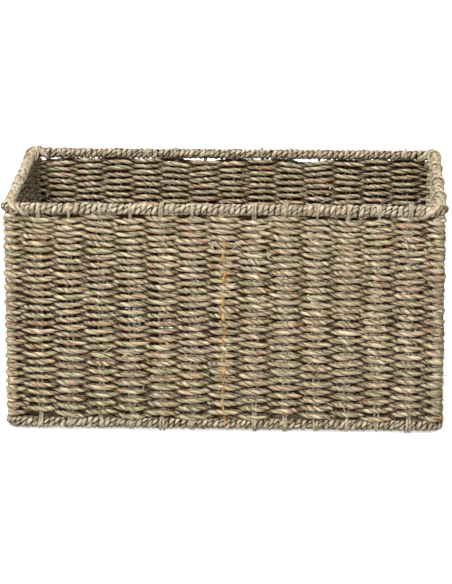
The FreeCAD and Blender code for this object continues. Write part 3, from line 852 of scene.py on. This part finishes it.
class Nodes:
    """Adds nodes to a material and links them."""

    def __init__(self, name):
        self.material = bpy.data.materials.new(name)
        self.material.use_nodes = True
        self.tree = self.material.node_tree
        self.tree.nodes.clear()

    def add(self, kind, inputs=None, **settings):
        """Adds a node; an input is a value or another node's output."""
        node = self.tree.nodes.new(f"ShaderNode{kind}")
        for setting, value in settings.items():
            setattr(node, setting, value)
        for key, value in (inputs or {}).items():
            if isinstance(value, bpy.types.NodeSocket):
                self.tree.links.new(value, node.inputs[key])
            else:
                node.inputs[key].default_value = value
        return node

    def maths(self, operation, *values):
        """The outcome of a sum on values or other nodes' outputs."""
        return self.add("Math", dict(enumerate(values)), operation=operation).outputs[0]

    def drawn_out(self, kind, fibre, strand, along, around, seed, **settings):
        """A pattern drawn out along a strand: along is its cells per metre, and around across a radius."""
        stretch = self.add("VectorMath", {0: fibre, 1: (along, around, around)}, operation="MULTIPLY")
        shift = self.maths("MULTIPLY_ADD", strand, STRAND_SHIFT, seed)
        return self.add(kind, {"Vector": stretch.outputs[0], "W": shift, "Scale": 1.0}, **settings)

    def ramp(self, factor, stops):
        """A colour ramp: stops are places and colours."""
        node = self.add("ValToRGB", {0: factor})
        elements = node.color_ramp.elements
        while len(elements) < len(stops):
            elements.new(0.5)
        for element, (place, colour) in zip(elements, stops):
            element.position = place
            element.color = colour
        return node.outputs[0]


OLIVE = linear(106, 98, 66)
GREEN = linear(138, 136, 95)
SAGE = linear(160, 155, 122)
BEIGE = linear(186, 166, 130)
STRAW = linear(205, 190, 163)
GREY = linear(169, 155, 128)
MAUVE = linear(182, 150, 125)
TAN = linear(166, 132, 98)
RUST = linear(140, 92, 58)
BROWN = linear(120, 72, 44)
GOLD = linear(194, 142, 76)
# the brown of the painted shadow in grooves and deep among the cords
PAINTED_SHADOW_BROWN = linear(46, 23, 3)

GRASS_STOPS = (
    (0.00, OLIVE),
    (0.14, GREEN),
    (0.28, SAGE),
    (0.42, BEIGE),
    (0.54, STRAW),
    (0.66, GREY),
    (0.78, MAUVE),
    (0.90, TAN),
    (1.00, RUST),
)
PALE_STOPS = (
    (0.00, linear(150, 146, 120)),
    (0.30, linear(182, 168, 139)),
    (0.60, linear(198, 184, 156)),
    (0.85, linear(190, 168, 145)),
    (1.00, RUST),
)
MARKER_STOPS = (
    (0.0, RUST),
    (0.4, GOLD),
    (0.8, linear(208, 168, 102)),
    (1.0, RUST),
)
STAIN_STOPS = ((0.66, linear(0, 0, 0)), (0.74, linear(255, 255, 255)))

# The patterns on a strand: cells per metre along it, cells per radius across it, and a seed.
BLADES = (60.0, 0.75, 1.0)
PATCHES = (6.0, 0.2, 11.0)
STREAKS = (180.0, 1.9, 31.0)
FLECKS = (380.0, 3.6, 57.0)
STAINS = (24.0, 0.3, 71.0)
# How much each does: to the place on the colour ramp, and to how light the grass is.
PATCH_COLOUR = 1.4
BLADE_COLOUR = 0.62
COLOUR_START = -0.5
BLADE_LIGHT = 0.6
STREAK_LIGHT = 2.3
FLECK_LIGHT = 1.9
LIGHTEST = 0.93
RIDGES = 0.6 * MM


def grass_colour(nodes, fibre, strand, blade, stops):
    """Blades of differing colours, in patches, with brown stains."""
    patches = nodes.drawn_out("TexNoise", fibre, strand, *PATCHES, noise_dimensions="4D").outputs[0]
    place = nodes.maths("MULTIPLY_ADD", blade, BLADE_COLOUR, COLOUR_START)
    colour = nodes.ramp(nodes.maths("MULTIPLY_ADD", patches, PATCH_COLOUR, place), stops)
    stains = nodes.drawn_out("TexNoise", fibre, strand, *STAINS, noise_dimensions="4D").outputs[0]
    stained = nodes.ramp(stains, STAIN_STOPS)
    return nodes.add("Mix", {0: stained, 6: colour, 7: BROWN}, data_type="RGBA").outputs[2]


def seagrass(name, stops, brightness, contrast=1.0):
    """Twisted seagrass: blades of differing colours, streaked along their length, dry and ridged."""
    nodes = Nodes(name)
    fibre = nodes.add("Attribute", attribute_name="fibre").outputs["Vector"]
    strand = nodes.add("Attribute", attribute_name="strand").outputs["Fac"]
    painted_shade = nodes.add("Attribute", attribute_name="painted_shade").outputs["Fac"]
    blades = nodes.drawn_out("TexVoronoi", fibre, strand, *BLADES, voronoi_dimensions="4D")
    blade = nodes.add("SeparateColor", {0: blades.outputs["Color"]}).outputs
    streaks = nodes.drawn_out("TexNoise", fibre, strand, *STREAKS, noise_dimensions="4D").outputs[0]
    flecks = nodes.drawn_out("TexNoise", fibre, strand, *FLECKS, noise_dimensions="4D").outputs[0]
    colour = grass_colour(nodes, fibre, strand, blade[0], stops)
    darkest = brightness - (BLADE_LIGHT + STREAK_LIGHT) / 2 * contrast
    value = nodes.maths("MULTIPLY_ADD", blade[1], BLADE_LIGHT * contrast, darkest)
    value = nodes.maths("MULTIPLY_ADD", streaks, STREAK_LIGHT * contrast, value)
    fleck = nodes.maths("MULTIPLY_ADD", flecks, FLECK_LIGHT * contrast, 1 - FLECK_LIGHT / 2 * contrast)
    value = nodes.maths("MINIMUM", nodes.maths("MULTIPLY", value, fleck), LIGHTEST)
    shade = nodes.add("VectorMath", {0: colour, "Scale": value}, operation="SCALE").outputs[0]
    # painted shade: where the tint attribute is low the grass is painted towards a deep brown shadow
    shade = nodes.add("Mix", {0: painted_shade, 6: PAINTED_SHADOW_BROWN, 7: shade}, data_type="RGBA").outputs[2]
    height = nodes.maths("ADD", streaks, flecks)
    bump = nodes.add("Bump", {"Height": height, "Strength": 0.8, "Distance": RIDGES})
    surface = {
        "Base Color": shade,
        "Roughness": nodes.maths("MULTIPLY_ADD", streaks, -0.35, 0.85),
        # and the painted shade dims its shine too
        "Specular IOR Level": nodes.maths("MULTIPLY", painted_shade, 0.2),
        "Normal": bump.outputs[0],
    }
    principled = nodes.add("BsdfPrincipled", surface)
    nodes.add("OutputMaterial", {"Surface": principled.outputs[0]})
    return nodes.material


WIRE_STOPS = ((0.4, linear(58, 52, 44)), (0.7, linear(92, 80, 64)))


def frame_metal():
    """Dark wire with a worn coat, which shows only where the cord leaves it bare."""
    nodes = Nodes("frame_wire")
    place = nodes.add("TexCoord").outputs["Object"]
    wear = nodes.add("TexNoise", {"Vector": place, "Scale": 180.0, "Detail": 4.0}).outputs[0]
    colour = nodes.ramp(wear, WIRE_STOPS)
    rough = nodes.maths("MULTIPLY_ADD", wear, 0.4, 0.3)
    principled = nodes.add("BsdfPrincipled", {"Base Color": colour, "Roughness": rough, "Metallic": 0.6})
    nodes.add("OutputMaterial", {"Surface": principled.outputs[0]})
    return nodes.material


# ---- The studio ----

VIEW_AZIMUTH = 2.14  # degrees to the right of straight ahead
VIEW_ELEVATION = 14.6
VIEW_DISTANCE = 2.83
VIEW_LENS = 193.3  # millimetres, on a 36 mm sensor
AIM_RIGHT = 2 * MM  # the point of the front wall's plane that the camera aims at
AIM_UP = 0.62  # as a part of the way from the foot to the rim
WORLD_LIGHT = 0.38  # the world is white to the camera, and this bright to everything else
FLOOR_REACH = 6.0
FLOOR_GLOW = (0.08, 0.68)  # how much the floor glows, for everything else and for the camera
FLOOR_PALE = (0.55, 1.0)  # and how pale it is
LAMPS = (  # name, place, size and watts
    ("key", (-0.9, -2.4, 2.6), 2.0, 182.0),
    ("fill", (2.2, -1.8, 1.4), 2.0, 7.0),
    ("top", (-0.7, -0.5, 2.9), 1.6, 92.0),
)
LAMP_AIM = (0, 0, 0.1)


def floor_paint():
    """Pale paint that looks white to the camera and throws back less light than it seems to."""
    nodes = Nodes("floor_paint")
    seen = nodes.add("LightPath").outputs["Is Camera Ray"]
    glow, pale = (
        nodes.maths("MULTIPLY_ADD", seen, to_camera - otherwise, otherwise)
        for otherwise, to_camera in (FLOOR_GLOW, FLOOR_PALE)
    )
    white = (1.0, 1.0, 1.0, 1.0)
    paint = {"Base Color": pale, "Roughness": 0.8, "Emission Color": white, "Emission Strength": glow}
    principled = nodes.add("BsdfPrincipled", paint)
    nodes.add("OutputMaterial", {"Surface": principled.outputs[0]})
    return nodes.material


def floor():
    """A plain floor at the basket's foot."""
    mesh = bpy.data.meshes.new("floor")
    corners = [(x * FLOOR_REACH, y * FLOOR_REACH, 0) for x, y in ((-1, -1), (1, -1), (1, 1), (-1, 1))]
    mesh.from_pydata(corners, [], [(0, 1, 2, 3)])
    mesh.materials.append(floor_paint())
    ground = bpy.data.objects.new("floor", mesh)
    bpy.context.scene.collection.objects.link(ground)


def white_world():
    """A world that is white to the camera and less bright to everything else."""
    world = bpy.data.worlds.new("studio")
    world.use_nodes = True
    tree = world.node_tree
    seen = tree.nodes.new("ShaderNodeLightPath").outputs["Is Camera Ray"]
    strength = tree.nodes.new("ShaderNodeMath")
    strength.operation = "MULTIPLY_ADD"
    strength.inputs[1].default_value = 1 - WORLD_LIGHT
    strength.inputs[2].default_value = WORLD_LIGHT
    tree.links.new(seen, strength.inputs[0])
    tree.links.new(strength.outputs[0], tree.nodes["Background"].inputs["Strength"])
    tree.nodes["Background"].inputs["Color"].default_value = (1, 1, 1, 1)
    bpy.context.scene.world = world


def lamps():
    """Soft lamps that all point at the basket."""
    for name, place, size, watts in LAMPS:
        data = bpy.data.lights.new(name, "AREA")
        data.size = size
        data.energy = watts
        lamp = bpy.data.objects.new(name, data)
        lamp.location = place
        lamp.rotation_euler = (Vector(LAMP_AIM) - Vector(place)).to_track_quat("-Z", "Y").to_euler()
        bpy.context.scene.collection.objects.link(lamp)


def camera():
    """The camera, at the photograph's viewing angle."""
    aim = Vector((AIM_RIGHT, -DEPTH / 2, FOOT_LEVEL + AIM_UP * (RIM_LEVEL - FOOT_LEVEL)))
    azimuth, elevation = math.radians(VIEW_AZIMUTH), math.radians(VIEW_ELEVATION)
    level = math.cos(elevation)
    back = Vector((math.sin(azimuth) * level, -math.cos(azimuth) * level, math.sin(elevation)))
    eye = bpy.data.objects.new("camera", bpy.data.cameras.new("camera"))
    eye.data.lens = VIEW_LENS
    eye.location = aim + back * VIEW_DISTANCE
    eye.rotation_euler = (-back).to_track_quat("-Z", "Y").to_euler()
    bpy.context.scene.collection.objects.link(eye)
    bpy.context.scene.camera = eye
    bpy.context.scene.view_settings.view_transform = "Standard"


# ---- The whole picture ----


def nodes_ending(*endings):
    """The frame's nodes whose names end so, in its order."""
    return [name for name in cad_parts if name.endswith(endings)]


def main():
    """Builds the basket's looks and the studio round it."""
    weft = seagrass("seagrass_weft", GRASS_STOPS, brightness=1.1)
    bound = seagrass("seagrass_binding", PALE_STOPS, brightness=0.74, contrast=0.5)
    # the stakes' grass is pale, and is also painted lighter than the bindings' same grass, as painted light
    # where the stakes stand in shade between the rows
    pale = seagrass("seagrass_stake", PALE_STOPS, brightness=1.12, contrast=0.6)
    coloured = seagrass("seagrass_marker", MARKER_STOPS, brightness=1.0, contrast=0.6)
    woven_walls(weft)
    tufts(pale)
    woven_base(weft)
    # dark and clear set the bindings' painted shade; the foot's grooves are painted darker
    binding("rim_winding", "rim_binding", RIM_LEVEL, bound, seed=21, dark=0.45, clear=1.1)
    binding("foot_winding", "foot_binding", FOOT_LEVEL, bound, seed=22, dark=0.2, clear=1.25)
    stakes(pale, coloured)
    for name in nodes_ending("_lashing"):
        lashing(name, bound)
    for name in nodes_ending("_corner_weave"):
        post_turns(name, weft)
    metal = frame_metal()
    for name in nodes_ending("_wire", "_post"):
        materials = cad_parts[name].data.materials
        materials.clear()
        materials.append(metal)
    floor()
    white_world()
    lamps()
    camera()


main()
